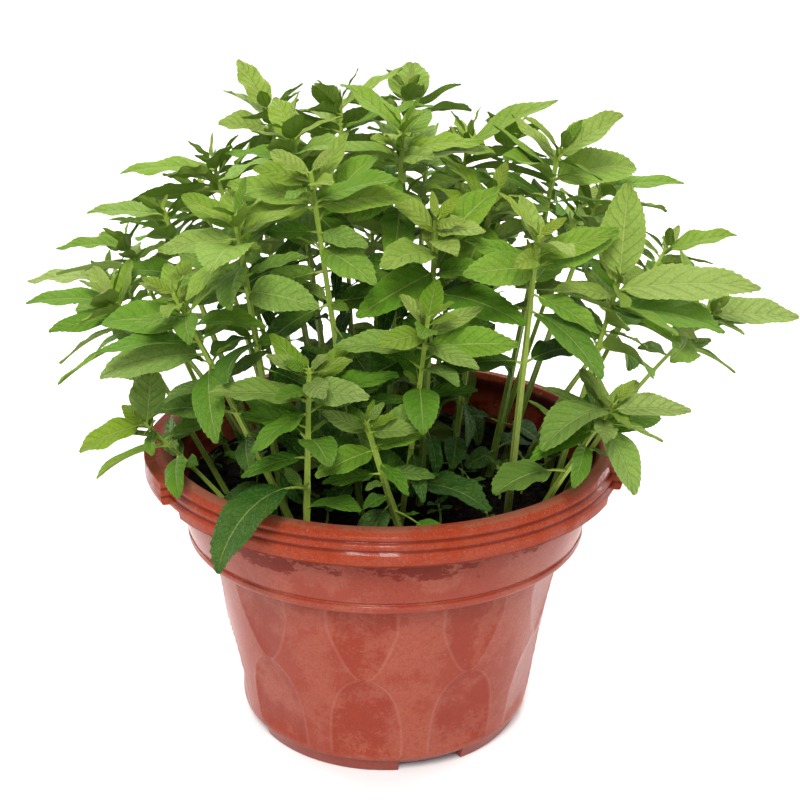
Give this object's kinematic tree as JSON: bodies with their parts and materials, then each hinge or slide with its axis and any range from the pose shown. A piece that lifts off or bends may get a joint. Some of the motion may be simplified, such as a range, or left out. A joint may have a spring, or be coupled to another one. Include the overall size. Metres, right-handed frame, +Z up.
{
  "type": "potted mint plant",
  "caption": "Bushy mint plant with upright leafy stems growing in soil in a round red-brown plastic pot with a stepped rim, lifting ears and petal relief; stands on its foot ring.",
  "frame": {"origin": "on the floor, on the pot's axis, under the middle of the plant", "axes": "+Z up, the pot's axis; -Y towards the viewer; +X to the right of the picture, along the plant's widest spread and towards the right lifting ear"},
  "size_m": [0.4104, 0.2858, 0.3495],
  "materials": {
    "pot_plastic": "glossy rim, dusty satin body",
    "potting_soil": "damp crumbly",
    "mint_foliage": "soft satin leaf"
  },
  "bodies": {
    "root": {"pot": "pot_plastic", "soil": "potting_soil", "leafy_stem_01": "mint_foliage", "leafy_stem_02": "mint_foliage", "leafy_stem_03": "mint_foliage", "leafy_stem_04": "mint_foliage", "leafy_stem_05": "mint_foliage", "leafy_stem_06": "mint_foliage", "leafy_stem_07": "mint_foliage", "leafy_stem_08": "mint_foliage", "leafy_stem_09": "mint_foliage", "leafy_stem_10": "mint_foliage", "leafy_stem_11": "mint_foliage", "leafy_stem_12": "mint_foliage", "leafy_stem_13": "mint_foliage", "leafy_stem_14": "mint_foliage", "leafy_stem_15": "mint_foliage", "leafy_stem_16": "mint_foliage", "leafy_stem_17": "mint_foliage", "leafy_stem_18": "mint_foliage", "leafy_stem_19": "mint_foliage", "leafy_stem_20": "mint_foliage", "leafy_stem_21": "mint_foliage", "leafy_stem_22": "mint_foliage", "leafy_stem_23": "mint_foliage", "leafy_stem_24": "mint_foliage", "leafy_stem_25": "mint_foliage", "leafy_stem_26": "mint_foliage", "leafy_stem_27": "mint_foliage", "leafy_stem_28": "mint_foliage", "leafy_stem_29": "mint_foliage", "leafy_stem_30": "mint_foliage", "leafy_stem_31": "mint_foliage", "leafy_stem_32": "mint_foliage", "leafy_stem_33": "mint_foliage", "leafy_stem_34": "mint_foliage", "leafy_stem_35": "mint_foliage", "leafy_stem_36": "mint_foliage"}
  },
  "joints": []
}
